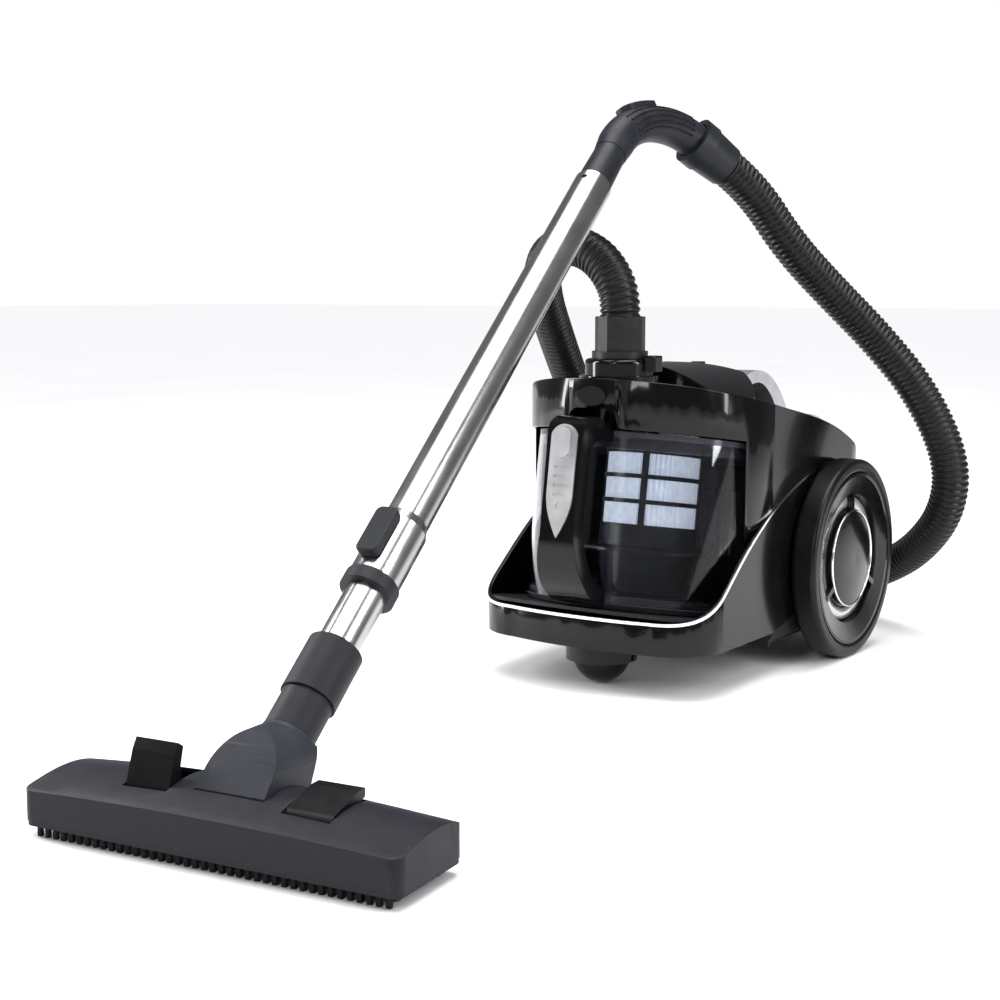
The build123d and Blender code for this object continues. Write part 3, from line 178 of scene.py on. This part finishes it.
looks = {
    shell: ["base_shell", "caster_ball"],
    black: [
        "top_cover", "deck_panel", "badge_lens", "inlet_collar", "collar_latch", "cup_handle",
        "deck_button",
    ],
    satin: ["bulkhead", "hose_connector", "caster_fork", "cup_tray"],
    deep: ["belly_pan", "exhaust_grille", "cord_reel"],
    chrome: ["silver_trim"],
    silver: ["handle_inset", "cup_button"],
    pearl: ["carry_handle"],
    frosted: ["power_pedal", "rewind_pedal"],
    smoke: ["cup_wall"],
    smoke_dark: ["cup_floor", "cup_lid"],
    cage: ["filter_cage", "cyclone_cone"],
    paper_painted_glow: ["filter_pleats"],
    grip: ["hose_cuff", "handle_grip", "bleed_slider", "tube_ring", "slide_button"],
    ribbed: ["hose"],
    head: ["head_cover", "sole_plate", "neck", "brush_strip"],
    elbow: ["elbow"],
    pedal: ["head_pedal_left", "head_pedal_right"],
    tyre: ["tyre_left", "tyre_right"],
    rim: ["rim_left", "rim_right"],
    bristle: ["brush_tufts"],
    roller: ["rollers_rear", "rollers_front"],
    steel: ["belly_screws", "reel_axle", "wheel_axles", "motor_rotor", "roller_pins"],
    tube_steel: ["upper_tube", "lower_tube"],
    motor_paint: ["motor_can"],
    fan: ["impeller"],
    board: ["circuit_board"],
    foam: ["exhaust_filter"],
    rubber: ["cord_gland"],
}
for material, names in looks.items():
    for name in names:
        for slot in nodes[name].material_slots:
            slot.material = material


def soften(name, width, segments=2):
    """Rounds the moulded edges of a CAD node."""
    weld = nodes[name].modifiers.new("weld", "WELD")
    weld.merge_threshold = 0.00002
    bevel = nodes[name].modifiers.new("edges", "BEVEL")
    bevel.width = width
    bevel.segments = segments
    bevel.limit_method = "ANGLE"
    bevel.angle_limit = math.radians(35)
    bevel.harden_normals = True


# ---------------------------------------------------------------- swept tubes
def swept(name, points, radius, segments, material):
    """Tube along points, with flat ends; radius(distance) gives its radius at a distance along it."""
    ring_side = (points[1] - points[0]).orthogonal().normalized()
    verts, faces, distance = [], [], 0.0
    for i, point in enumerate(points):
        ahead = points[min(i + 1, len(points) - 1)] - points[max(i - 1, 0)]
        ahead.normalize()
        ring_side = (ring_side - ahead * ring_side.dot(ahead)).normalized()
        other = ahead.cross(ring_side)
        if i:
            distance += (point - points[i - 1]).length
        reach = radius(distance)
        for k in range(segments):
            angle = 2 * math.pi * k / segments
            verts.append(point + (ring_side * math.cos(angle) + other * math.sin(angle)) * reach)
    for i in range(len(points) - 1):
        for k in range(segments):
            a, b = i * segments + k, i * segments + (k + 1) % segments
            faces.append((a, b, b + segments, a + segments))
    last = (len(points) - 1) * segments
    faces.append(tuple(reversed(range(segments))))
    faces.append(tuple(range(last, last + segments)))
    mesh = bpy.data.meshes.new(name)
    mesh.from_pydata(verts, [], faces)
    mesh.materials.append(material)
    for face in mesh.polygons:
        face.use_smooth = len(face.vertices) == 4
    piece = bpy.data.objects.new(name, mesh)
    bpy.context.collection.objects.link(piece)
    return piece


# ---------------------------------------------------------------- hose
hose_points = [
    (0, -0.199, 0.326), (0, -0.199, 0.342), (-0.008, -0.199, 0.362), (-0.027, -0.197, 0.381),
    (-0.057, -0.191, 0.391), (-0.093, -0.177, 0.384), (-0.122, -0.144, 0.352), (-0.139, -0.084, 0.294),
    (-0.154, -0.024, 0.238), (-0.176, 0.034, 0.176), (-0.188, 0.092, 0.120), (-0.180, 0.148, 0.070),
    (-0.144, 0.192, 0.034), (-0.088, 0.218, 0.020), (-0.020, 0.220, 0.024), (0.046, 0.202, 0.036),
    (0.104, 0.167, 0.056), (0.158, 0.130, 0.088), (0.194, 0.110, 0.132), (0.199, 0.104, 0.184),
    (0.168, 0.096, 0.250), (0.128, 0.074, 0.304), (0.094, 0.042, 0.348), (0.066, 0.004, 0.392),
]
route = [axle + Vector(p) for p in hose_points] + [cuff_end + cuff_axis * cuff_length, cuff_end]
line = bpy.data.curves.new("hose_line", "CURVE")
line.dimensions = "3D"
line.resolution_u = 96
spline = line.splines.new("NURBS")
spline.points.add(len(route) - 1)
for point, place in zip(spline.points, route):
    point.co = (*place, 1.0)
spline.use_endpoint_u = True
spline.order_u = 3
guide = bpy.data.objects.new("hose_line", line)
bpy.context.collection.objects.link(guide)
bpy.context.view_layer.update()
traced = bpy.data.meshes.new_from_object(guide)
centre = [v.co.copy() for v in traced.vertices]
bpy.data.objects.remove(guide)

hose_radius, rib_pitch, rib_depth = 0.018, 0.0056, 0.0017


def rib(distance):
    """Rounded ribs with narrow valleys between them."""
    phase = math.cos(2 * math.pi * distance / rib_pitch)
    return hose_radius - rib_depth * (0.5 - 0.5 * phase) ** 1.6


hose = swept("hose_ribbed", centre, rib, 32, ribbed)
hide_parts("hose")
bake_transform(hose)


# ---------------------------------------------------------------- wheel rings and grip grooves
def turned(name, profile, centre, axis, segments, material):
    """Closed ring: profile points (distance out, distance along the axis) turned about the axis."""
    side = axis.orthogonal().normalized()
    other = axis.cross(side)
    mesh = bmesh.new()
    rings = []
    for k in range(segments):
        angle = 2 * math.pi * k / segments
        out = side * math.cos(angle) + other * math.sin(angle)
        rings.append([mesh.verts.new(centre + out * reach + axis * along) for reach, along in profile])
    for here, after in zip(rings, rings[1:] + rings[:1]):
        for i in range(len(profile)):
            j = (i + 1) % len(profile)
            mesh.faces.new((here[i], here[j], after[j], after[i]))
    bmesh.ops.recalc_face_normals(mesh, faces=mesh.faces)
    data = bpy.data.meshes.new(name)
    mesh.to_mesh(data)
    mesh.free()
    data.materials.append(material)
    data.shade_smooth()
    piece = bpy.data.objects.new(name, data)
    bpy.context.collection.objects.link(piece)
    return piece


wheel_face, wheel_radius, wheel_segments = 0.145, 0.095, 128
band = [(0.0485, -0.0125), (0.0595, -0.0125), (0.0590, -0.0100), (0.0540, -0.0092), (0.0490, -0.0100)]
lip = [(0.0450, -0.0050), (0.0466, -0.0050), (0.0466, -0.0036), (0.0458, -0.0028), (0.0450, -0.0036)]
for sign, hand in ((1, "left"), (-1, "right")):
    hub = Vector((axle.x + sign * wheel_face, axle.y, wheel_radius))
    outward = Vector((sign, 0, 0))
    ring = turned(f"rim_ring_{hand}", band, hub, outward, wheel_segments, silver)
    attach(ring, f"{hand}_wheel")
    edge = turned(f"hub_edge_{hand}", lip, hub, outward, wheel_segments, chrome)
    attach(edge, f"{hand}_wheel")

groove_depth_radius, groove_radius, groove_steps = 0.0162, 0.0011, 28
groove_first, groove_share = 0.16, 0.68


def groove_path(around):
    """Line just under the grip's skin, along its bend; around is the angle from the grip's outer side."""
    path = []
    for step in range(groove_steps + 1):
        sweep = bend_angle * (groove_first + groove_share * step / groove_steps)
        out = wand_axis * math.sin(sweep) - handle_down * math.cos(sweep)
        facing = handle_side * -math.cos(around) + out * math.sin(around)
        path.append(bend_centre + out * bend_radius + facing * groove_depth_radius)
    return path


def groove_section(distance):
    """The same radius all along."""
    return groove_radius


for number, degrees in enumerate((-38, -19, 0, 19, 38)):
    path = groove_path(math.radians(degrees))
    groove = swept(f"grip_groove_{number}", path, groove_section, 10, pedal)
    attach(groove, "handle")

edge_widths = {"head_cover": 0.0012, "top_cover": 0.001, "base_shell": 0.001, "elbow": 0.0008}
for name, width in edge_widths.items():
    soften(name, width)

# ---------------------------------------------------------------- stage, lights and camera
bpy.ops.mesh.primitive_plane_add(size=60, location=(0, 0, 0))
floor = bpy.context.object
floor.name = "studio_floor"
floor_look = surface("floor_white", (0.93, 0.93, 0.94), 0.8, 0.01, 3.0)
floor.data.materials.append(floor_look)

world = bpy.data.worlds.new("studio")
bpy.context.scene.world = world
bpy.context.scene.view_settings.view_transform = "Standard"
world.use_nodes = True
sky = world.node_tree
backdrop = sky.nodes["Background"]
backdrop.inputs["Color"].default_value = (1, 1, 1, 1)
backdrop.inputs["Strength"].default_value = 1.0
room = sky.nodes.new("ShaderNodeBackground")
room.inputs["Color"].default_value = (0.95, 0.97, 1, 1)
room.inputs["Strength"].default_value = 0.2
seen = sky.nodes.new("ShaderNodeLightPath")
choose = sky.nodes.new("ShaderNodeMixShader")
sky.links.new(seen.outputs["Is Camera Ray"], choose.inputs["Fac"])
sky.links.new(room.outputs["Background"], choose.inputs[1])
sky.links.new(backdrop.outputs["Background"], choose.inputs[2])
sky.links.new(choose.outputs["Shader"], sky.nodes["World Output"].inputs["Surface"])


def area_light(name, place, target, size, power):
    """Soft rectangular light at a place, facing a target."""
    lamp = bpy.data.lights.new(name, "AREA")
    lamp.shape = "RECTANGLE"
    lamp.size, lamp.size_y = size
    lamp.energy = power
    holder = bpy.data.objects.new(name, lamp)
    holder.location = place
    aim = Vector(target) - Vector(place)
    holder.rotation_euler = aim.to_track_quat("-Z", "Y").to_euler()
    bpy.context.collection.objects.link(holder)


area_light("overhead", (0.0, 0.3, 2.6), (0, 0.1, 0), (1.4, 1.4), 26)
area_light("strip_left", (-1.3, -0.5, 0.7), (0, 0.15, 0.2), (0.22, 1.3), 26)
area_light("strip_right", (1.5, 0.2, 0.9), (0, 0.15, 0.2), (0.25, 1.4), 20)
area_light("front", (0.35, -2.1, 1.3), (0, 0, 0.15), (0.5, 0.5), 12)
floor_fill = bpy.data.lights.new("floor_fill", "SUN")
floor_fill.energy = 2.7
floor_fill.angle = math.radians(60)
floor_fill.specular_factor = 0.0
filler = bpy.data.objects.new("floor_fill", floor_fill)
bpy.context.collection.objects.link(filler)

camera = bpy.data.cameras.new("camera")
camera.sensor_width = 36
camera.lens = 58.46
camera.clip_start = 0.05
eye = bpy.data.objects.new("camera", camera)
eye.location = (0.7210, -1.1010, 0.3488)
eye.rotation_euler = (math.radians(90 - 7.35), 0, math.radians(35.05))
bpy.context.collection.objects.link(eye)
bpy.context.scene.camera = eye
